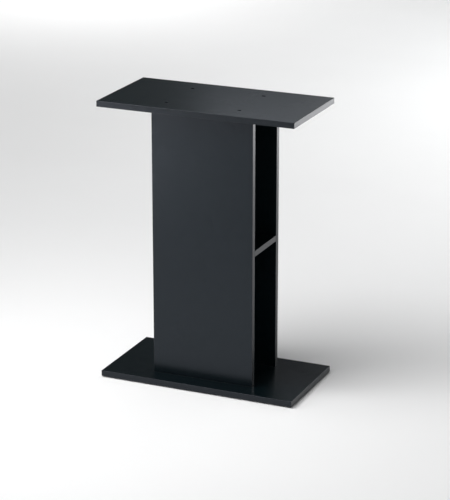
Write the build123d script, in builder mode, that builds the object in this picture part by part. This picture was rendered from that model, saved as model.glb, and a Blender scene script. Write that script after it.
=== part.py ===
from build123d import *
import os

os.makedirs("parts", exist_ok=True)

# ------------------------------------------------------------------
# Open pedestal stand for a small aquarium.
# Origin: centre of the footprint on the floor. +X along the stand's
# width, +Y towards its back, +Z up. Millimetres.
# ------------------------------------------------------------------

# Envelope
STAND_W = 525.0        # X, length of the top and base boards
STAND_D = 265.0        # Y, depth of the top and base boards
STAND_H = 730.0        # Z, floor to the seat for the tank

# Board and edging
BOARD_T = 15.0         # melamine-faced chipboard
BAND_T = 1.0           # ABS edge band glued to every visible edge
BAND_R = 0.6           # radius run along the band's outer arrises

# Column: two upright panels, open on both sides
PANEL_EASE = 0.45      # saw-cut long edges eased, where they meet the boards
PANEL_W = 272.0        # X, panel width over its two bands
PANEL_GAP = 138.0      # Y, clear distance between the panels

# Shelf, loose on four supports
SHELF_GAP_FRONT = 0.3  # clearance to the front panel
SHELF_GAP_BACK = 2.2   # clearance to the back panel
SHELF_SEAT_GAP = 0.05  # between the supports' pads and the shelf

# Glides under the base
GLIDE_H = 3.0
GLIDE_R = 10.0
GLIDE_INSET = 25.0     # from each board edge to the glide's centre
NAIL_R = 1.0
NAIL_HEAD_R = 3.2
NAIL_HEAD_H = 0.9
NAIL_HEAD_REC = 1.3    # depth of the pocket the head sits in
NAIL_L = 13.2          # below the head

# Carcass screw 7 x 50, countersunk head, 4 mm hexagon socket
SCREW_L = 50.0
HEAD_R = 4.75
SHANK_R = 3.5
SHANK_L = 14.2
THREAD_R = 3.5
CORE_R = 2.5
THREAD_PITCH = 3.0
THREAD_TURNS = 10
SOCKET_AF = 4.0
SOCKET_DEPTH = 3.0
HEAD_DROP = 2.5        # head lies this far under the board's face
BORE_R = 4.8           # counterbore over the head, then its countersink
FLARE_R = 5.2          # bore's mouth, bevelled at the board's face
SCREW_CLEAR_R = 3.6    # hole through the top and base boards
SCREW_PILOT_R = 3.55   # hole in the panels' end grain, cut by the thread
SCREW_PILOT_L = 39.0
SCREW_PITCH_X = 194.0  # between the two screws of one panel

# Fluted dowel 8 x 30
DOWEL_R = 4.0
DOWEL_L = 30.0
DOWEL_IN_BOARD = 10.0  # length held by the top or base board
DOWEL_HOLE_R = 4.05
DOWEL_SPARE = 0.5      # glue room at each end of a dowel
DOWEL_PITCH_X = 130.0

# Shelf support: angle of 1.5 mm plate on a 5 mm peg
SUP_W = 12.0
SUP_PAD = 10.0
SUP_DROP = 13.0
SUP_T = 1.5
SUP_PEG_R = 2.5
SUP_PEG_L = 8.5
SUP_PEG_Z = -7.5       # peg axis below the pad's top
SUP_HOLE_R = 2.55
SUP_HOLE_L = 9.0
SUP_PITCH_X = 200.0

# Derived heights
Z_BASE_LOW = GLIDE_H
Z_BASE_TOP = Z_BASE_LOW + BOARD_T
Z_TOP = STAND_H
Z_TOP_LOW = STAND_H - BOARD_T
PANEL_H = Z_TOP_LOW - Z_BASE_TOP
PANEL_Y = PANEL_GAP / 2 + BOARD_T / 2      # panels' mid-planes
SHELF_LOW = (Z_TOP_LOW + Z_BASE_TOP) / 2 - BOARD_T / 2
SHELF_DEPTH = PANEL_GAP - SHELF_GAP_FRONT - SHELF_GAP_BACK
SHELF_Y = (SHELF_GAP_FRONT - SHELF_GAP_BACK) / 2
SUP_TOP_Z = SHELF_LOW - SHELF_SEAT_GAP
SUP_AXIS_Z = SUP_TOP_Z + SUP_PEG_Z

# Derived widths
CORE_W = STAND_W - 2 * BAND_T
CORE_D = STAND_D - 2 * BAND_T
PANEL_CORE_W = PANEL_W - 2 * BAND_T
GLIDE_PITCH_X = STAND_W - 2 * GLIDE_INSET
GLIDE_PITCH_Y = STAND_D - 2 * GLIDE_INSET
SCREW_PITCH_Y = 2 * PANEL_Y


# ------------------------------------------------------------------
# Top board: counterbored clearance holes over the panels' mid-planes,
# blind dowel holes from below
# ------------------------------------------------------------------
with BuildPart() as top_board:
    with BuildSketch(Plane.XY.offset(Z_TOP_LOW)):
        Rectangle(CORE_W, CORE_D)
    extrude(amount=BOARD_T)
    with Locations((0, 0, Z_TOP)):
        with GridLocations(SCREW_PITCH_X, SCREW_PITCH_Y, 2, 2):
            CounterSinkHole(
                radius=SCREW_CLEAR_R,
                counter_sink_radius=FLARE_R,
                depth=BOARD_T + 5,
                counter_sink_angle=90,
            )
    with Locations((0, 0, Z_TOP - HEAD_DROP)):
        with GridLocations(SCREW_PITCH_X, SCREW_PITCH_Y, 2, 2):
            CounterSinkHole(
                radius=SCREW_CLEAR_R,
                counter_sink_radius=BORE_R,
                depth=BOARD_T + 5,
                counter_sink_angle=90,
            )
    with BuildSketch(Plane.XY.offset(Z_TOP)):
        with GridLocations(SCREW_PITCH_X, SCREW_PITCH_Y, 2, 2):
            Circle(BORE_R)
    extrude(amount=-HEAD_DROP, mode=Mode.SUBTRACT)
    with BuildSketch(Plane.XY.offset(Z_TOP_LOW)):
        with GridLocations(DOWEL_PITCH_X, SCREW_PITCH_Y, 2, 2):
            Circle(DOWEL_HOLE_R)
    extrude(amount=DOWEL_IN_BOARD + DOWEL_SPARE, mode=Mode.SUBTRACT)
top_board.part.label = "top_board"
export_step(top_board.part, "parts/top_board.step")

# Long bands cover the ends of the short ones
with BuildPart() as top_band_front:
    with BuildSketch(Plane(origin=(0, -STAND_D / 2 + BAND_T / 2, Z_TOP_LOW))):
        Rectangle(STAND_W, BAND_T)
    extrude(amount=BOARD_T)
    face = top_band_front.faces().sort_by(Axis.Y)[0]
    left_end = top_band_front.faces().sort_by(Axis.X)[0]
    right_end = top_band_front.faces().sort_by(Axis.X)[-1]
    fillet(
        face.edges()
        + left_end.edges().filter_by(Axis.Y)
        + right_end.edges().filter_by(Axis.Y),
        BAND_R,
    )
top_band_front.part.label = "top_band_front"
export_step(top_band_front.part, "parts/top_band_front.step")

with BuildPart() as top_band_back:
    with BuildSketch(Plane(origin=(0, STAND_D / 2 - BAND_T / 2, Z_TOP_LOW))):
        Rectangle(STAND_W, BAND_T)
    extrude(amount=BOARD_T)
    face = top_band_back.faces().sort_by(Axis.Y)[-1]
    left_end = top_band_back.faces().sort_by(Axis.X)[0]
    right_end = top_band_back.faces().sort_by(Axis.X)[-1]
    fillet(
        face.edges()
        + left_end.edges().filter_by(Axis.Y)
        + right_end.edges().filter_by(Axis.Y),
        BAND_R,
    )
top_band_back.part.label = "top_band_back"
export_step(top_band_back.part, "parts/top_band_back.step")

with BuildPart() as top_band_left:
    with BuildSketch(Plane(origin=(-STAND_W / 2 + BAND_T / 2, 0, Z_TOP_LOW))):
        Rectangle(BAND_T, CORE_D)
    extrude(amount=BOARD_T)
    face = top_band_left.faces().sort_by(Axis.X)[0]
    fillet(face.edges().filter_by(Axis.Y), BAND_R)
top_band_left.part.label = "top_band_left"
export_step(top_band_left.part, "parts/top_band_left.step")

with BuildPart() as top_band_right:
    with BuildSketch(Plane(origin=(STAND_W / 2 - BAND_T / 2, 0, Z_TOP_LOW))):
        Rectangle(BAND_T, CORE_D)
    extrude(amount=BOARD_T)
    face = top_band_right.faces().sort_by(Axis.X)[-1]
    fillet(face.edges().filter_by(Axis.Y), BAND_R)
top_band_right.part.label = "top_band_right"
export_step(top_band_right.part, "parts/top_band_right.step")


# ------------------------------------------------------------------
# Base board: same outline; screws enter from below, dowels from
# above, glide nails from below
# ------------------------------------------------------------------
with BuildPart() as base_board:
    with BuildSketch(Plane.XY.offset(Z_BASE_LOW)):
        Rectangle(CORE_W, CORE_D)
    extrude(amount=BOARD_T)
    with Locations(Location((0, 0, Z_BASE_LOW), (180, 0, 0))):
        with GridLocations(SCREW_PITCH_X, SCREW_PITCH_Y, 2, 2):
            CounterSinkHole(
                radius=SCREW_CLEAR_R,
                counter_sink_radius=FLARE_R,
                depth=BOARD_T + 5,
                counter_sink_angle=90,
            )
    with Locations(Location((0, 0, Z_BASE_LOW + HEAD_DROP), (180, 0, 0))):
        with GridLocations(SCREW_PITCH_X, SCREW_PITCH_Y, 2, 2):
            CounterSinkHole(
                radius=SCREW_CLEAR_R,
                counter_sink_radius=BORE_R,
                depth=BOARD_T + 5,
                counter_sink_angle=90,
            )
    with BuildSketch(Plane.XY.offset(Z_BASE_LOW)):
        with GridLocations(SCREW_PITCH_X, SCREW_PITCH_Y, 2, 2):
            Circle(BORE_R)
    extrude(amount=HEAD_DROP, mode=Mode.SUBTRACT)
    with BuildSketch(Plane.XY.offset(Z_BASE_TOP)):
        with GridLocations(DOWEL_PITCH_X, SCREW_PITCH_Y, 2, 2):
            Circle(DOWEL_HOLE_R)
    extrude(amount=-(DOWEL_IN_BOARD + DOWEL_SPARE), mode=Mode.SUBTRACT)
    with BuildSketch(Plane.XY.offset(Z_BASE_LOW)):
        with GridLocations(GLIDE_PITCH_X, GLIDE_PITCH_Y, 2, 2):
            Circle(NAIL_R + 0.05)
    extrude(amount=NAIL_HEAD_REC + NAIL_L + 0.5 - GLIDE_H, mode=Mode.SUBTRACT)
base_board.part.label = "base_board"
export_step(base_board.part, "parts/base_board.step")

with BuildPart() as base_band_front:
    with BuildSketch(Plane(origin=(0, -STAND_D / 2 + BAND_T / 2, Z_BASE_LOW))):
        Rectangle(STAND_W, BAND_T)
    extrude(amount=BOARD_T)
    face = base_band_front.faces().sort_by(Axis.Y)[0]
    left_end = base_band_front.faces().sort_by(Axis.X)[0]
    right_end = base_band_front.faces().sort_by(Axis.X)[-1]
    fillet(
        face.edges()
        + left_end.edges().filter_by(Axis.Y)
        + right_end.edges().filter_by(Axis.Y),
        BAND_R,
    )
base_band_front.part.label = "base_band_front"
export_step(base_band_front.part, "parts/base_band_front.step")

with BuildPart() as base_band_back:
    with BuildSketch(Plane(origin=(0, STAND_D / 2 - BAND_T / 2, Z_BASE_LOW))):
        Rectangle(STAND_W, BAND_T)
    extrude(amount=BOARD_T)
    face = base_band_back.faces().sort_by(Axis.Y)[-1]
    left_end = base_band_back.faces().sort_by(Axis.X)[0]
    right_end = base_band_back.faces().sort_by(Axis.X)[-1]
    fillet(
        face.edges()
        + left_end.edges().filter_by(Axis.Y)
        + right_end.edges().filter_by(Axis.Y),
        BAND_R,
    )
base_band_back.part.label = "base_band_back"
export_step(base_band_back.part, "parts/base_band_back.step")

with BuildPart() as base_band_left:
    with BuildSketch(Plane(origin=(-STAND_W / 2 + BAND_T / 2, 0, Z_BASE_LOW))):
        Rectangle(BAND_T, CORE_D)
    extrude(amount=BOARD_T)
    face = base_band_left.faces().sort_by(Axis.X)[0]
    fillet(face.edges().filter_by(Axis.Y), BAND_R)
base_band_left.part.label = "base_band_left"
export_step(base_band_left.part, "parts/base_band_left.step")

with BuildPart() as base_band_right:
    with BuildSketch(Plane(origin=(STAND_W / 2 - BAND_T / 2, 0, Z_BASE_LOW))):
        Rectangle(BAND_T, CORE_D)
    extrude(amount=BOARD_T)
    face = base_band_right.faces().sort_by(Axis.X)[-1]
    fillet(face.edges().filter_by(Axis.Y), BAND_R)
base_band_right.part.label = "base_band_right"
export_step(base_band_right.part, "parts/base_band_right.step")


# ------------------------------------------------------------------
# Front panel: pilot and dowel holes in both end grains, two blind
# holes for the shelf supports in the inner face
# ------------------------------------------------------------------
with BuildPart() as front_panel:
    with BuildSketch(Plane(origin=(0, -PANEL_Y, Z_BASE_TOP))):
        Rectangle(PANEL_CORE_W, BOARD_T)
    extrude(amount=PANEL_H)
    with BuildSketch(Plane(origin=(0, -PANEL_Y, Z_TOP_LOW))):
        with GridLocations(SCREW_PITCH_X, 0, 2, 1):
            Circle(SCREW_PILOT_R)
    extrude(amount=-SCREW_PILOT_L, mode=Mode.SUBTRACT)
    with BuildSketch(Plane(origin=(0, -PANEL_Y, Z_TOP_LOW))):
        with GridLocations(DOWEL_PITCH_X, 0, 2, 1):
            Circle(DOWEL_HOLE_R)
    extrude(amount=-(DOWEL_L - DOWEL_IN_BOARD + DOWEL_SPARE), mode=Mode.SUBTRACT)
    with BuildSketch(Plane(origin=(0, -PANEL_Y, Z_BASE_TOP))):
        with GridLocations(SCREW_PITCH_X, 0, 2, 1):
            Circle(SCREW_PILOT_R)
    extrude(amount=SCREW_PILOT_L, mode=Mode.SUBTRACT)
    with BuildSketch(Plane(origin=(0, -PANEL_Y, Z_BASE_TOP))):
        with GridLocations(DOWEL_PITCH_X, 0, 2, 1):
            Circle(DOWEL_HOLE_R)
    extrude(amount=DOWEL_L - DOWEL_IN_BOARD + DOWEL_SPARE, mode=Mode.SUBTRACT)
    with BuildSketch(
        Plane(origin=(0, -PANEL_GAP / 2, SUP_AXIS_Z), x_dir=(1, 0, 0), z_dir=(0, 1, 0))
    ):
        with GridLocations(SUP_PITCH_X, 0, 2, 1):
            Circle(SUP_HOLE_R)
    extrude(amount=-SUP_HOLE_L, mode=Mode.SUBTRACT)
    long_edges = front_panel.edges().filter_by(Axis.X)
    chamfer(
        long_edges.group_by(Axis.Z)[0] + long_edges.group_by(Axis.Z)[-1], PANEL_EASE
    )
front_panel.part.label = "front_panel"
export_step(front_panel.part, "parts/front_panel.step")

with BuildPart() as front_panel_band_left:
    with BuildSketch(Plane(origin=(-PANEL_W / 2 + BAND_T / 2, -PANEL_Y, Z_BASE_TOP))):
        Rectangle(BAND_T, BOARD_T)
    extrude(amount=PANEL_H)
    face = front_panel_band_left.faces().sort_by(Axis.X)[0]
    fillet(face.edges().filter_by(Axis.Z), BAND_R)
front_panel_band_left.part.label = "front_panel_band_left"
export_step(front_panel_band_left.part, "parts/front_panel_band_left.step")

with BuildPart() as front_panel_band_right:
    with BuildSketch(Plane(origin=(PANEL_W / 2 - BAND_T / 2, -PANEL_Y, Z_BASE_TOP))):
        Rectangle(BAND_T, BOARD_T)
    extrude(amount=PANEL_H)
    face = front_panel_band_right.faces().sort_by(Axis.X)[-1]
    fillet(face.edges().filter_by(Axis.Z), BAND_R)
front_panel_band_right.part.label = "front_panel_band_right"
export_step(front_panel_band_right.part, "parts/front_panel_band_right.step")


# ------------------------------------------------------------------
# Back panel: the front panel's twin, its supports facing forwards
# ------------------------------------------------------------------
with BuildPart() as back_panel:
    with BuildSketch(Plane(origin=(0, PANEL_Y, Z_BASE_TOP))):
        Rectangle(PANEL_CORE_W, BOARD_T)
    extrude(amount=PANEL_H)
    with BuildSketch(Plane(origin=(0, PANEL_Y, Z_TOP_LOW))):
        with GridLocations(SCREW_PITCH_X, 0, 2, 1):
            Circle(SCREW_PILOT_R)
    extrude(amount=-SCREW_PILOT_L, mode=Mode.SUBTRACT)
    with BuildSketch(Plane(origin=(0, PANEL_Y, Z_TOP_LOW))):
        with GridLocations(DOWEL_PITCH_X, 0, 2, 1):
            Circle(DOWEL_HOLE_R)
    extrude(amount=-(DOWEL_L - DOWEL_IN_BOARD + DOWEL_SPARE), mode=Mode.SUBTRACT)
    with BuildSketch(Plane(origin=(0, PANEL_Y, Z_BASE_TOP))):
        with GridLocations(SCREW_PITCH_X, 0, 2, 1):
            Circle(SCREW_PILOT_R)
    extrude(amount=SCREW_PILOT_L, mode=Mode.SUBTRACT)
    with BuildSketch(Plane(origin=(0, PANEL_Y, Z_BASE_TOP))):
        with GridLocations(DOWEL_PITCH_X, 0, 2, 1):
            Circle(DOWEL_HOLE_R)
    extrude(amount=DOWEL_L - DOWEL_IN_BOARD + DOWEL_SPARE, mode=Mode.SUBTRACT)
    with BuildSketch(
        Plane(origin=(0, PANEL_GAP / 2, SUP_AXIS_Z), x_dir=(1, 0, 0), z_dir=(0, -1, 0))
    ):
        with GridLocations(SUP_PITCH_X, 0, 2, 1):
            Circle(SUP_HOLE_R)
    extrude(amount=-SUP_HOLE_L, mode=Mode.SUBTRACT)
    long_edges = back_panel.edges().filter_by(Axis.X)
    chamfer(
        long_edges.group_by(Axis.Z)[0] + long_edges.group_by(Axis.Z)[-1], PANEL_EASE
    )
back_panel.part.label = "back_panel"
export_step(back_panel.part, "parts/back_panel.step")

with BuildPart() as back_panel_band_left:
    with BuildSketch(Plane(origin=(-PANEL_W / 2 + BAND_T / 2, PANEL_Y, Z_BASE_TOP))):
        Rectangle(BAND_T, BOARD_T)
    extrude(amount=PANEL_H)
    face = back_panel_band_left.faces().sort_by(Axis.X)[0]
    fillet(face.edges().filter_by(Axis.Z), BAND_R)
back_panel_band_left.part.label = "back_panel_band_left"
export_step(back_panel_band_left.part, "parts/back_panel_band_left.step")

with BuildPart() as back_panel_band_right:
    with BuildSketch(Plane(origin=(PANEL_W / 2 - BAND_T / 2, PANEL_Y, Z_BASE_TOP))):
        Rectangle(BAND_T, BOARD_T)
    extrude(amount=PANEL_H)
    face = back_panel_band_right.faces().sort_by(Axis.X)[-1]
    fillet(face.edges().filter_by(Axis.Z), BAND_R)
back_panel_band_right.part.label = "back_panel_band_right"
export_step(back_panel_band_right.part, "parts/back_panel_band_right.step")


# ------------------------------------------------------------------
# Shelf: as wide as the panels, a little shallower than their gap,
# banded on its two open ends
# ------------------------------------------------------------------
with BuildPart() as shelf:
    with BuildSketch(Plane(origin=(0, SHELF_Y, SHELF_LOW))):
        Rectangle(PANEL_CORE_W, SHELF_DEPTH)
    extrude(amount=BOARD_T)
shelf.part.label = "shelf"
export_step(shelf.part, "parts/shelf.step")

with BuildPart() as shelf_band_left:
    with BuildSketch(Plane(origin=(-PANEL_W / 2 + BAND_T / 2, SHELF_Y, SHELF_LOW))):
        Rectangle(BAND_T, SHELF_DEPTH)
    extrude(amount=BOARD_T)
    face = shelf_band_left.faces().sort_by(Axis.X)[0]
    fillet(face.edges().filter_by(Axis.Y), BAND_R)
shelf_band_left.part.label = "shelf_band_left"
export_step(shelf_band_left.part, "parts/shelf_band_left.step")

with BuildPart() as shelf_band_right:
    with BuildSketch(Plane(origin=(PANEL_W / 2 - BAND_T / 2, SHELF_Y, SHELF_LOW))):
        Rectangle(BAND_T, SHELF_DEPTH)
    extrude(amount=BOARD_T)
    face = shelf_band_right.faces().sort_by(Axis.X)[-1]
    fillet(face.edges().filter_by(Axis.Y), BAND_R)
shelf_band_right.part.label = "shelf_band_right"
export_step(shelf_band_right.part, "parts/shelf_band_right.step")


# ------------------------------------------------------------------
# Shelf supports: a peg in the panel, a plate hanging down its face
# and a flat pad under the shelf
# ------------------------------------------------------------------
with BuildPart() as shelf_support:
    with BuildSketch(Plane.YZ.offset(-SUP_W / 2)):
        with BuildLine():
            Polyline(
                (0, 0),
                (SUP_PAD, 0),
                (SUP_PAD, -SUP_T),
                (SUP_T, -SUP_T),
                (SUP_T, -SUP_DROP),
                (0, -SUP_DROP),
                close=True,
            )
        make_face()
    extrude(amount=SUP_W)
    inner_bend = (
        shelf_support.edges()
        .filter_by(Axis.X)
        .sort_by_distance((0, SUP_T, -SUP_T))[0]
    )
    fillet(inner_bend, 1.0)
    pad_corners = shelf_support.edges().filter_by(Axis.Z).group_by(Axis.Y)[-1]
    fillet(pad_corners, 2.5)
    plate_corners = shelf_support.edges().filter_by(Axis.Y).group_by(Axis.Z)[0]
    fillet(plate_corners, 3.0)
    with BuildSketch(
        Plane(origin=(0, 0, SUP_PEG_Z), x_dir=(1, 0, 0), z_dir=(0, -1, 0))
    ):
        Circle(SUP_PEG_R)
    extrude(amount=SUP_PEG_L)
    peg_end = shelf_support.faces().sort_by(Axis.Y)[0]
    chamfer(peg_end.edges(), 0.5)

with BuildPart() as shelf_pins:
    with Locations((0, -PANEL_GAP / 2, SUP_TOP_Z)):
        with GridLocations(SUP_PITCH_X, 0, 2, 1):
            add(shelf_support.part)
    with Locations(Location((0, PANEL_GAP / 2, SUP_TOP_Z), (0, 0, 180))):
        with GridLocations(SUP_PITCH_X, 0, 2, 1):
            add(shelf_support.part)
shelf_pins.part.label = "shelf_pins"
export_step(shelf_pins.part, "parts/shelf_pins.step")


# ------------------------------------------------------------------
# Carcass screws: head up in the top board, head down in the base
# ------------------------------------------------------------------
thread_profile = []
for turn in range(THREAD_TURNS):
    z = -(SHANK_L + 1.0 + turn * THREAD_PITCH)
    thread_profile += [
        (CORE_R, z),
        (THREAD_R, z - 0.9),
        (THREAD_R, z - 1.2),
        (CORE_R, z - 2.1),
    ]

with BuildPart() as carcass_screw:
    with BuildSketch(Plane.XZ):
        with BuildLine():
            Polyline(
                (0, 0),
                (HEAD_R, 0),
                (SHANK_R, -(HEAD_R - SHANK_R)),
                (SHANK_R, -SHANK_L),
                *thread_profile,
                (CORE_R, -(SCREW_L - 2.5)),
                (0.8, -SCREW_L),
                (0, -SCREW_L),
                close=True,
            )
        make_face()
    revolve(axis=Axis.Z)
    with BuildSketch(Plane.XY):
        RegularPolygon(radius=SOCKET_AF / 2, side_count=6, major_radius=False)
    extrude(amount=-SOCKET_DEPTH, mode=Mode.SUBTRACT)

with BuildPart() as top_screws:
    with Locations((0, 0, Z_TOP - HEAD_DROP)):
        with GridLocations(SCREW_PITCH_X, SCREW_PITCH_Y, 2, 2):
            add(carcass_screw.part)
top_screws.part.label = "top_screws"
export_step(top_screws.part, "parts/top_screws.step")

with BuildPart() as base_screws:
    with Locations(Location((0, 0, Z_BASE_LOW + HEAD_DROP), (180, 0, 0))):
        with GridLocations(SCREW_PITCH_X, SCREW_PITCH_Y, 2, 2):
            add(carcass_screw.part)
base_screws.part.label = "base_screws"
export_step(base_screws.part, "parts/base_screws.step")


# ------------------------------------------------------------------
# Fluted beech dowels that locate the boards on the panels
# ------------------------------------------------------------------
with BuildPart() as dowel:
    with BuildSketch(Plane.XY):
        Circle(DOWEL_R)
    extrude(amount=DOWEL_L)
    chamfer(dowel.edges().filter_by(GeomType.CIRCLE), 0.8)
    with BuildSketch(Plane.XY):
        with PolarLocations(DOWEL_R, 12):
            Circle(0.35)
    extrude(amount=DOWEL_L, mode=Mode.SUBTRACT)

with BuildPart() as top_dowels:
    with Locations((0, 0, Z_TOP_LOW + DOWEL_IN_BOARD - DOWEL_L)):
        with GridLocations(DOWEL_PITCH_X, SCREW_PITCH_Y, 2, 2):
            add(dowel.part)
top_dowels.part.label = "top_dowels"
export_step(top_dowels.part, "parts/top_dowels.step")

with BuildPart() as base_dowels:
    with Locations((0, 0, Z_BASE_TOP - DOWEL_IN_BOARD)):
        with GridLocations(DOWEL_PITCH_X, SCREW_PITCH_Y, 2, 2):
            add(dowel.part)
base_dowels.part.label = "base_dowels"
export_step(base_dowels.part, "parts/base_dowels.step")


# ------------------------------------------------------------------
# Glides: plastic discs nailed under the base's corners
# ------------------------------------------------------------------
with BuildPart() as glide:
    with BuildSketch(Plane.XY):
        Circle(GLIDE_R)
    extrude(amount=GLIDE_H)
    fillet(glide.edges().group_by(Axis.Z)[0], 0.9)
    with Locations(Location((0, 0, 0), (180, 0, 0))):
        CounterBoreHole(
            radius=NAIL_R + 0.05,
            counter_bore_radius=NAIL_HEAD_R + 0.2,
            counter_bore_depth=NAIL_HEAD_REC,
            depth=GLIDE_H + 1,
        )

with BuildPart() as glides:
    with GridLocations(GLIDE_PITCH_X, GLIDE_PITCH_Y, 2, 2):
        add(glide.part)
glides.part.label = "glides"
export_step(glides.part, "parts/glides.step")

with BuildPart() as glide_nail:
    with BuildSketch(Plane.XZ):
        with BuildLine():
            Polyline(
                (0, NAIL_HEAD_REC - NAIL_HEAD_H),
                (NAIL_HEAD_R - 0.4, NAIL_HEAD_REC - NAIL_HEAD_H),
                (NAIL_HEAD_R, NAIL_HEAD_REC - NAIL_HEAD_H + 0.4),
                (NAIL_HEAD_R, NAIL_HEAD_REC),
                (NAIL_R, NAIL_HEAD_REC),
                (NAIL_R, NAIL_HEAD_REC + NAIL_L - 2.0),
                (0, NAIL_HEAD_REC + NAIL_L),
                close=True,
            )
        make_face()
    revolve(axis=Axis.Z)

with BuildPart() as glide_nails:
    with GridLocations(GLIDE_PITCH_X, GLIDE_PITCH_Y, 2, 2):
        add(glide_nail.part)
glide_nails.part.label = "glide_nails"
export_step(glide_nails.part, "parts/glide_nails.step")
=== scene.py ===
import bpy
import math
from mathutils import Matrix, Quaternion, Vector


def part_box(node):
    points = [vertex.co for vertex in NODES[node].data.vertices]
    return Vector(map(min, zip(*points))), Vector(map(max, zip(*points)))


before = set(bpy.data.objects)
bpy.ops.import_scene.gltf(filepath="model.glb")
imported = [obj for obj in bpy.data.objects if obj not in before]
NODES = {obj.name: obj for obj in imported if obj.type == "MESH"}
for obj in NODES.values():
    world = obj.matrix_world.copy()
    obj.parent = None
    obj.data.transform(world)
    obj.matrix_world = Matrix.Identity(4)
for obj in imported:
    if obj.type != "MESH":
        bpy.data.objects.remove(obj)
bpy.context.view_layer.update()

# ------------------------------------------------------------------
# Places taken from the CAD nodes, in metres
# ------------------------------------------------------------------
top_lo, top_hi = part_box("top_board")
base_lo, base_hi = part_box("base_board")
screw_lo, screw_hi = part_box("top_screws")
HEAD_R = 0.00475
BARE_R = 0.0042   # the holes are bare board below the heads
BORE_R = 0.00485  # painted shade: the counterbore walls around and above the heads are darkened to near black
HOLE_X = screw_hi.x - HEAD_R
HOLE_Y = screw_hi.y - HEAD_R


# ------------------------------------------------------------------
# Camera: the photograph's viewing angle
# ------------------------------------------------------------------
CAM_POS = Vector((2.0710, -4.6495, 2.0331))
CAM_YAW = math.radians(23.749)
CAM_PITCH = math.radians(18.420)
CAM_LENS = 153.045

cam_data = bpy.data.cameras.new("camera")
cam_data.sensor_width = 36.0
cam_data.lens = CAM_LENS
cam_data.clip_start = 0.05
cam_data.clip_end = 100.0
cam = bpy.data.objects.new("camera", cam_data)
bpy.context.scene.collection.objects.link(cam)
forward = Vector((
    -math.sin(CAM_YAW) * math.cos(CAM_PITCH),
    math.cos(CAM_YAW) * math.cos(CAM_PITCH),
    -math.sin(CAM_PITCH),
))
cam.rotation_mode = "QUATERNION"
cam.location = CAM_POS
cam.rotation_quaternion = forward.to_track_quat("-Z", "Y")
bpy.context.scene.camera = cam


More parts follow.
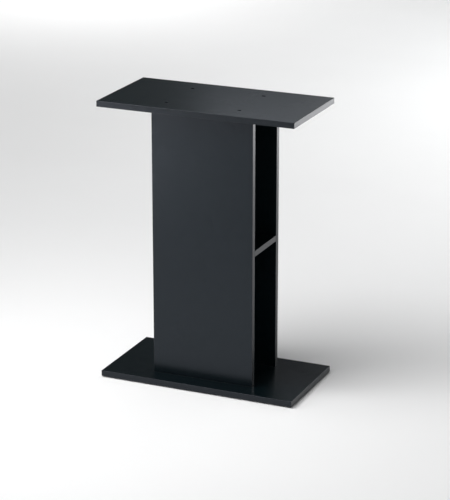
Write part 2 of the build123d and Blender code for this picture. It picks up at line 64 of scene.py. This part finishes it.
# ------------------------------------------------------------------
# Node helpers
# ------------------------------------------------------------------
class Net:
    """A material's node tree, built by short calls."""

    def __init__(self, name):
        self.mat = bpy.data.materials.new(name)
        self.mat.use_nodes = True
        self.tree = self.mat.node_tree
        self.tree.nodes.clear()
        self.out = self.tree.nodes.new("ShaderNodeOutputMaterial")
        self.bsdf = self.tree.nodes.new("ShaderNodeBsdfPrincipled")
        self.link(self.bsdf.outputs["BSDF"], self.out.inputs["Surface"])
        self.coord = self.tree.nodes.new("ShaderNodeTexCoord").outputs["Object"]
        geo = self.tree.nodes.new("ShaderNodeNewGeometry")
        self.normal = geo.outputs["Normal"]

    def link(self, a, b):
        self.tree.links.new(a, b)

    def put(self, value, socket):
        if isinstance(value, bpy.types.NodeSocket):
            self.link(value, socket)
        else:
            socket.default_value = value

    def math(self, op, a, b=0.0, c=None, clamp=False):
        n = self.tree.nodes.new("ShaderNodeMath")
        n.operation = op
        n.use_clamp = clamp
        self.put(a, n.inputs[0])
        self.put(b, n.inputs[1])
        if c is not None:
            self.put(c, n.inputs[2])
        return n.outputs[0]

    def scaled(self, scale, source=None, offset=(0, 0, 0)):
        n = self.tree.nodes.new("ShaderNodeMapping")
        n.inputs["Scale"].default_value = scale
        n.inputs["Location"].default_value = offset
        self.link(source or self.coord, n.inputs["Vector"])
        return n.outputs["Vector"]

    def noise(self, vector, scale, detail=2.0, rough=0.5, distortion=0.0):
        n = self.tree.nodes.new("ShaderNodeTexNoise")
        n.inputs["Scale"].default_value = scale
        n.inputs["Detail"].default_value = detail
        n.inputs["Roughness"].default_value = rough
        n.inputs["Distortion"].default_value = distortion
        self.link(vector, n.inputs["Vector"])
        return n.outputs[0]

    def voronoi(self, vector, scale, feature="F1", randomness=1.0):
        n = self.tree.nodes.new("ShaderNodeTexVoronoi")
        n.feature = feature
        n.inputs["Scale"].default_value = scale
        n.inputs["Randomness"].default_value = randomness
        self.link(vector, n.inputs["Vector"])
        return n.outputs

    def remap(self, value, a, b, c, d, smooth=False):
        n = self.tree.nodes.new("ShaderNodeMapRange")
        n.interpolation_type = "SMOOTHSTEP" if smooth else "LINEAR"
        n.inputs["From Min"].default_value = a
        n.inputs["From Max"].default_value = b
        n.inputs["To Min"].default_value = c
        n.inputs["To Max"].default_value = d
        self.link(value, n.inputs["Value"])
        return n.outputs["Result"]

    def mix(self, factor, a, b):
        n = self.tree.nodes.new("ShaderNodeMix")
        n.data_type = "RGBA"
        self.put(factor, n.inputs["Factor"])
        self.put(a, [s for s in n.inputs if s.name == "A" and s.type == "RGBA"][0])
        self.put(b, [s for s in n.inputs if s.name == "B" and s.type == "RGBA"][0])
        return [s for s in n.outputs if s.type == "RGBA"][0]

    def ramp(self, value, stops):
        n = self.tree.nodes.new("ShaderNodeValToRGB")
        e = n.color_ramp.elements
        while len(e) < len(stops):
            e.new(0.5)
        for k, (p, col) in enumerate(stops):
            e[k].position = p
            e[k].color = (*col, 1.0)
        self.link(value, n.inputs["Fac"])
        return n.outputs["Color"]

    def bump(self, height, distance, strength=1.0, normal=None):
        n = self.tree.nodes.new("ShaderNodeBump")
        n.inputs["Strength"].default_value = strength
        n.inputs["Distance"].default_value = distance
        self.link(height, n.inputs["Height"])
        if normal is not None:
            self.link(normal, n.inputs["Normal"])
        return n.outputs["Normal"]

    def xyz(self, vector):
        n = self.tree.nodes.new("ShaderNodeSeparateXYZ")
        self.link(vector, n.inputs[0])
        return n.outputs

    def arris(self):
        """1 on a rounded arris, 0 on the flats: the normal leaves the axes there."""
        x, y, z = self.xyz(self.normal)
        top = self.math("MAXIMUM", self.math("ABSOLUTE", x),
                        self.math("MAXIMUM", self.math("ABSOLUTE", y), self.math("ABSOLUTE", z)))
        return self.remap(top, 0.90, 0.995, 1.0, 0.0, smooth=True)

    def facing(self, axis):
        """1 where the face looks along the axis, either way."""
        v = self.xyz(self.normal)["XYZ".index(axis)]
        return self.math("GREATER_THAN", self.math("ABSOLUTE", v), 0.9)


def chipboard(net, scale=(1, 1, 1)):
    """Raw particle board: chips of several tones, dark resin between them. Colour, height."""
    p = net.scaled(scale)
    cells = net.voronoi(p, 420)
    tone = net.xyz(cells["Color"])[0]
    chips = net.ramp(tone, [(0.0, (0.115, 0.062, 0.030)), (0.35, (0.235, 0.142, 0.075)),
                            (0.7, (0.330, 0.215, 0.120)), (1.0, (0.450, 0.320, 0.195))])
    fibre = net.noise(p, 1500, 4, 0.65)
    chips = net.mix(net.remap(fibre, 0.35, 0.75, 0.0, 0.45), chips, (0.10, 0.058, 0.030, 1))
    edge = net.voronoi(p, 420, "DISTANCE_TO_EDGE")["Distance"]
    gap = net.remap(edge, 0.0, 0.07, 1.0, 0.0, smooth=True)
    colour = net.mix(net.math("MULTIPLY", gap, 0.7), chips, (0.045, 0.026, 0.014, 1))
    height = net.math("SUBTRACT", net.math("ADD", tone, fibre), gap)
    return colour, height


def melamine(name, raw=None, eased=None, painted_shade=None):
    """Black melamine facing with a fine pearl texture. raw(net) gives 1 where the board is bare,
    eased(net) on a cut whose arris is sanded through the facing, and the last mask on counterbore walls darkened to
    near black as painted shade."""
    net = Net(name)
    b = net.bsdf
    # the facing: near black, with a slight blue cast and a faint print mottle
    mottle = net.noise(net.coord, 55, 5, 0.6)
    fine = net.noise(net.coord, 2600, 2, 0.5)
    colour = net.ramp(mottle, [(0.30, (0.0008, 0.0038, 0.0050)), (0.70, (0.0014, 0.0046, 0.0060))])
    colour = net.mix(net.remap(fine, 0.60, 0.80, 0.0, 0.35), colour, (0.008, 0.010, 0.012, 1))
    # roughness: pearl texture, handling smudges, a few faint hairline rubs
    smudge = net.noise(net.coord, 9, 4, 0.6, 0.6)
    rough = net.remap(smudge, 0.30, 0.72, 0.275, 0.305)
    rub = net.noise(net.scaled((26, 900, 900)), 1.0, 2, 0.6, 0.3)
    rough = net.math("SUBTRACT", rough, net.remap(rub, 0.68, 0.82, 0.0, 0.007))
    rough = net.math("ADD", rough, net.remap(fine, 0.3, 0.7, -0.02, 0.02))
    # pearl texture: small rounded cells about a millimetre across
    cell = net.voronoi(net.coord, 900, "SMOOTH_F1", 1.0)["Distance"]
    grain = net.noise(net.coord, 1900, 3, 0.55)
    height = net.math("ADD", net.math("MULTIPLY", cell, 0.7), net.math("MULTIPLY", grain, 0.6))
    if raw is not None:
        mask = raw(net)
        raw_colour, raw_height = chipboard(net)
        colour = net.mix(mask, colour, raw_colour)
        rough = net.math("ADD", rough, net.math("MULTIPLY", mask, 0.48))
        height = net.math("ADD", height, net.math("MULTIPLY", net.math("MULTIPLY", mask, raw_height), 6.0))
    # painted shade: the masked counterbore walls are darkened to near black to stand in for the shade in the holes,
    # and made matte
    if painted_shade is not None:
        mask = painted_shade(net)
        colour = net.mix(mask, colour, (0.0030, 0.0036, 0.0040, 1))
        rough = net.math("ADD", rough, net.math("MULTIPLY", mask, 0.50))
    if eased is not None:
        worn = net.math("MULTIPLY", eased(net), net.remap(net.noise(net.coord, 160, 4, 0.6), 0.35, 0.60, 0.45, 1.0))
        colour = net.mix(worn, colour, (0.21, 0.20, 0.19, 1))
        rough = net.math("ADD", rough, net.math("MULTIPLY", worn, 0.40))
    net.put(colour, b.inputs["Base Color"])
    net.put(rough, b.inputs["Roughness"])
    net.put(net.bump(height, 0.000035, 0.55), b.inputs["Normal"])
    b.inputs["IOR"].default_value = 1.43
    b.inputs["Specular Tint"].default_value = (0.82, 0.87, 1.0, 1.0)
    return net.mat


def edge_band(name, along):
    """ABS edge band: extrusion streaks along its length, arrises lighter, partly rubbed wear and partly a painted
    highlight.
    """
    net = Net(name)
    b = net.bsdf
    stretch = {"X": (14, 2200, 2200), "Y": (2200, 14, 2200), "Z": (2200, 2200, 14)}[along]
    streak = net.noise(net.scaled(stretch), 1.0, 3, 0.6)
    broad = net.noise(net.coord, 18, 4, 0.6)
    grain = net.noise(net.coord, 2100, 2, 0.55)
    colour = net.ramp(broad, [(0.30, (0.0026, 0.0044, 0.0052)), (0.70, (0.0040, 0.0060, 0.0070))])
    # the lighter arris colour is partly rubbed wear and partly a painted highlight; the lower roughness there is the
    # rubbing
    arris = net.arris()
    patchy = net.remap(net.noise(net.coord, 120, 4, 0.65), 0.38, 0.68, 0.15, 1.0)
    arris_wear_and_highlight = net.math("MULTIPLY", arris, patchy)
    colour = net.mix(net.math("MULTIPLY", arris_wear_and_highlight, 0.55), colour, (0.030, 0.032, 0.034, 1))
    rough = net.remap(streak, 0.25, 0.75, 0.27, 0.36)
    rough = net.math("SUBTRACT", rough, net.math("MULTIPLY", arris_wear_and_highlight, 0.07))
    net.put(colour, b.inputs["Base Color"])
    net.put(rough, b.inputs["Roughness"])
    height = net.math("ADD", net.math("MULTIPLY", streak, 0.7), net.math("MULTIPLY", grain, 0.5))
    net.put(net.bump(height, 0.000025, 0.5), b.inputs["Normal"])
    b.inputs["IOR"].default_value = 1.43
    b.inputs["Specular Tint"].default_value = (0.82, 0.87, 1.0, 1.0)
    return net.mat


def metal(name, low, high, rough_low, rough_high, turned=False):
    """Plated steel: cloudy plating, fine machining rings or brushing."""
    net = Net(name)
    b = net.bsdf
    cloud = net.noise(net.coord, 420, 4, 0.6)
    brush = net.noise(net.scaled((300, 300, 5200) if turned else (5200, 5200, 300)), 1.0, 3, 0.6)
    colour = net.ramp(cloud, [(0.3, low), (0.7, high)])
    net.put(colour, b.inputs["Base Color"])
    b.inputs["Metallic"].default_value = 1.0
    rough = net.remap(brush, 0.25, 0.75, rough_low, rough_high)
    rough = net.math("ADD", rough, net.remap(cloud, 0.3, 0.7, -0.03, 0.05))
    net.put(rough, b.inputs["Roughness"])
    net.put(net.bump(brush, 0.00002, 0.5), b.inputs["Normal"])
    return net.mat


def beech(name):
    """Raw beech, its grain along the dowel."""
    net = Net(name)
    b = net.bsdf
    grain = net.noise(net.scaled((900, 900, 60)), 1.0, 5, 0.6, 0.4)
    fleck = net.noise(net.scaled((2600, 2600, 420)), 1.0, 2, 0.5)
    colour = net.ramp(grain, [(0.25, (0.36, 0.22, 0.115)), (0.55, (0.52, 0.355, 0.205)),
                              (0.8, (0.62, 0.45, 0.28))])
    colour = net.mix(net.remap(fleck, 0.62, 0.72, 0.0, 0.6), colour, (0.22, 0.12, 0.06, 1))
    net.put(colour, b.inputs["Base Color"])
    net.put(net.remap(grain, 0.2, 0.8, 0.55, 0.75), b.inputs["Roughness"])
    net.put(net.bump(grain, 0.00008, 0.6), b.inputs["Normal"])
    return net.mat


def moulded(name):
    """Moulded polyethylene: soft skin, scuffed underneath where it slides."""
    net = Net(name)
    b = net.bsdf
    skin = net.noise(net.coord, 900, 3, 0.6)
    scuff = net.noise(net.scaled((1500, 90, 90)), 1.0, 4, 0.65, 0.5)
    down = net.math("LESS_THAN", net.xyz(net.normal)[2], -0.9)
    rubbed = net.math("MULTIPLY", down, net.remap(scuff, 0.50, 0.66, 0.0, 1.0))
    colour = net.ramp(skin, [(0.3, (0.020, 0.020, 0.022)), (0.7, (0.030, 0.030, 0.032))])
    colour = net.mix(net.math("MULTIPLY", rubbed, 0.6), colour, (0.10, 0.10, 0.10, 1))
    net.put(colour, b.inputs["Base Color"])
    rough = net.math("ADD", net.remap(skin, 0.3, 0.7, 0.42, 0.52), net.math("MULTIPLY", rubbed, 0.2))
    net.put(rough, b.inputs["Roughness"])
    net.put(net.bump(net.math("ADD", skin, net.math("MULTIPLY", rubbed, 0.5)), 0.00006, 0.5),
            b.inputs["Normal"])
    return net.mat


# ------------------------------------------------------------------
# Where each board is bare chipboard
# ------------------------------------------------------------------
def from_screw_axis(net):
    x, y, z = net.xyz(net.coord)
    dx = net.math("SUBTRACT", net.math("ABSOLUTE", x), HOLE_X)
    dy = net.math("SUBTRACT", net.math("ABSOLUTE", y), HOLE_Y)
    return net.math("SQRT", net.math("ADD", net.math("MULTIPLY", dx, dx), net.math("MULTIPLY", dy, dy)))


def bare_in_screw_holes(net):
    return net.math("LESS_THAN", from_screw_axis(net), BARE_R)


# painted shade: 1 on the counterbore walls, whose colour is darkened to near black to stand in for the shade in the
# holes
def counterbore_painted_shade(net):
    r = from_screw_axis(net)
    return net.math("MULTIPLY", net.math("GREATER_THAN", r, BARE_R), net.math("LESS_THAN", r, BORE_R))


def bare_end_grain(net):
    return net.facing("Z")


def eased_ends(net):
    """The small slopes between a panel's faces and its saw-cut ends."""
    z = net.math("ABSOLUTE", net.xyz(net.normal)[2])
    return net.math("MULTIPLY", net.math("GREATER_THAN", z, 0.4), net.math("LESS_THAN", z, 0.9))


def bare_long_edges(net):
    return net.facing("Y")


MATS = {
    # the flat boards' screw counterbores carry painted shade
    "board_flat": melamine("melamine_flat", bare_in_screw_holes, painted_shade=counterbore_painted_shade),
    "board_panel": melamine("melamine_panel", bare_end_grain, eased_ends),
    "board_shelf": melamine("melamine_shelf", bare_long_edges),
    "band_x": edge_band("band_along_x", "X"),
    "band_y": edge_band("band_along_y", "Y"),
    "band_z": edge_band("band_along_z", "Z"),
    "screw": metal("black_zinc", (0.030, 0.030, 0.033), (0.070, 0.070, 0.075), 0.36, 0.50, turned=True),
    "support": metal("nickel", (0.50, 0.47, 0.43), (0.62, 0.59, 0.55), 0.20, 0.32),
    "nail": metal("bright_steel", (0.42, 0.42, 0.43), (0.56, 0.56, 0.57), 0.26, 0.38, turned=True),
    "dowel": beech("beech"),
    "glide": moulded("glide_plastic"),
}

USE = {
    "top_board": "board_flat", "base_board": "board_flat",
    "front_panel": "board_panel", "back_panel": "board_panel",
    "shelf": "board_shelf",
    "top_band_front": "band_x", "top_band_back": "band_x",
    "base_band_front": "band_x", "base_band_back": "band_x",
    "top_band_left": "band_y", "top_band_right": "band_y",
    "base_band_left": "band_y", "base_band_right": "band_y",
    "shelf_band_left": "band_y", "shelf_band_right": "band_y",
    "front_panel_band_left": "band_z", "front_panel_band_right": "band_z",
    "back_panel_band_left": "band_z", "back_panel_band_right": "band_z",
    "top_screws": "screw", "base_screws": "screw",
    "shelf_pins": "support", "glide_nails": "nail",
    "top_dowels": "dowel", "base_dowels": "dowel",
    "glides": "glide",
}
for node, key in USE.items():
    slots = NODES[node].material_slots
    for s in slots:
        s.material = MATS[key]


# ------------------------------------------------------------------
# Floor
# ------------------------------------------------------------------
floor_net = Net("floor_paint")
floor_tone = floor_net.noise(floor_net.coord, 1.3, 3, 0.5)
floor_net.put(floor_net.ramp(floor_tone, [(0.3, (0.915, 0.915, 0.915)), (0.7, (0.935, 0.935, 0.935))]),
              floor_net.bsdf.inputs["Base Color"])
floor_net.bsdf.inputs["Roughness"].default_value = 0.9
floor_mesh = bpy.data.meshes.new("floor")
FLOOR = 40.0
FLOOR_Z = -0.0001  # just clear of the glides' undersides
floor_mesh.from_pydata(
    [(-FLOOR, -FLOOR, FLOOR_Z), (FLOOR, -FLOOR, FLOOR_Z), (FLOOR, FLOOR, FLOOR_Z), (-FLOOR, FLOOR, FLOOR_Z)],
    [], [(0, 1, 2, 3)]
)
floor_mesh.materials.append(floor_net.mat)
floor = bpy.data.objects.new("floor", floor_mesh)
bpy.context.scene.collection.objects.link(floor)


# ------------------------------------------------------------------
# Soft studio light. Azimuth 0 is behind the camera's side (-Y), 90 is
# +X, 180 is behind the object (+Y).
# ------------------------------------------------------------------
def towards(azimuth, elevation):
    a, e = math.radians(azimuth), math.radians(elevation)
    return Vector((math.sin(a) * math.cos(e), -math.cos(a) * math.cos(e), math.sin(e)))


def card(name, location, direction, width, height, power, color=(1, 1, 1), spread=180, turn=0):
    """A rectangular softbox at a place, shining along a direction, turned about it by turn degrees."""
    data = bpy.data.lights.new(name, "AREA")
    data.shape = "RECTANGLE"
    data.size = width
    data.size_y = height
    data.energy = power
    data.color = color
    data.spread = math.radians(spread)
    light = bpy.data.objects.new(name, data)
    light.location = location
    light.rotation_mode = "QUATERNION"
    light.rotation_quaternion = Vector(direction).to_track_quat("-Z", "Y") @ Quaternion((0, 0, 1), math.radians(turn))
    light.visible_camera = False
    bpy.context.scene.collection.objects.link(light)
    return light


def softbox(name, azimuth, elevation, distance, width, height, power, aim=(0, 0, 0.4)):
    d = towards(azimuth, elevation)
    return card(name, Vector(aim) + d * distance, -d, width, height, power)


def sky_panel(name, azimuth, elevation, spread, strength):
    """A very distant soft source, as wide as spread in degrees."""
    data = bpy.data.lights.new(name, "SUN")
    data.energy = strength
    data.angle = math.radians(spread)
    light = bpy.data.objects.new(name, data)
    light.rotation_mode = "QUATERNION"
    light.rotation_quaternion = (-towards(azimuth, elevation)).to_track_quat("-Z", "Y")
    bpy.context.scene.collection.objects.link(light)
    return light


COOL = (0.87, 0.92, 1.0)
sky_panel("high_left", 315, 65, 50, 1.29)
sky_panel("high_front", 0, 38, 50, 0.48)
sky_panel("low_left", 300, 18, 22, 0.59)
sky_panel("high_right_back", 135, 65, 50, 0.27)
softbox("front_left_low", 312, 10, 1.3, 0.8, 0.8, 1.5)
softbox("front_left_high", 315, 50, 1.3, 0.8, 0.8, 11.6)
card("back_card", (-0.64, 2.0, 1.75), (0, -1, 0), 0.6, 0.6, 1.4, COOL)
card("right_back_strip", (1.0, 1.9, 0.2), (-0.45, -0.89, 0), 0.8, 0.3, 2.56)
card("floor_wash_right", (1.1, 3.8, 1.4), (0, 0, -1), 1.2, 1.2, 31.0, (0.96, 0.99, 1.0))
card("floor_wash_mid", (0.0, 2.6, 1.4), (0, 0, -1), 1.2, 1.2, 4.7)
card("floor_wash_left", (-2.6, 4.3, 1.6), (0, 0, -1), 1.2, 1.2, 8.0, spread=120)
card("floor_wash_front", (-1.33, -2.0, 0.6), (0, 0, -1), 0.5, 1.2, 9.0, spread=90, turn=-23.7)

# backdrop: pale at the horizon, dim above, like a lit cove under a dark ceiling
world = bpy.data.worlds.new("world")
world.use_nodes = True
sky = world.node_tree
sky.nodes.clear()
sky_out = sky.nodes.new("ShaderNodeOutputWorld")
bg = sky.nodes.new("ShaderNodeBackground")
sky.links.new(bg.outputs["Background"], sky_out.inputs["Surface"])
sky_dir = sky.nodes.new("ShaderNodeTexCoord")
sky_xyz = sky.nodes.new("ShaderNodeSeparateXYZ")
sky.links.new(sky_dir.outputs["Generated"], sky_xyz.inputs[0])
cove = sky.nodes.new("ShaderNodeMapRange")
cove.interpolation_type = "SMOOTHSTEP"
cove.inputs["From Min"].default_value = math.sin(math.radians(2.5))
cove.inputs["From Max"].default_value = math.sin(math.radians(8.0))
cove.inputs["To Min"].default_value = 0.64
cove.inputs["To Max"].default_value = 0.05
sky.links.new(sky_xyz.outputs[2], cove.inputs["Value"])
sky.links.new(cove.outputs["Result"], bg.inputs["Strength"])
bg.inputs["Color"].default_value = (0.96, 0.98, 1.0, 1.0)
bpy.context.scene.world = world

bpy.context.scene.view_settings.view_transform = "Standard"
bpy.context.scene.view_settings.look = "None"
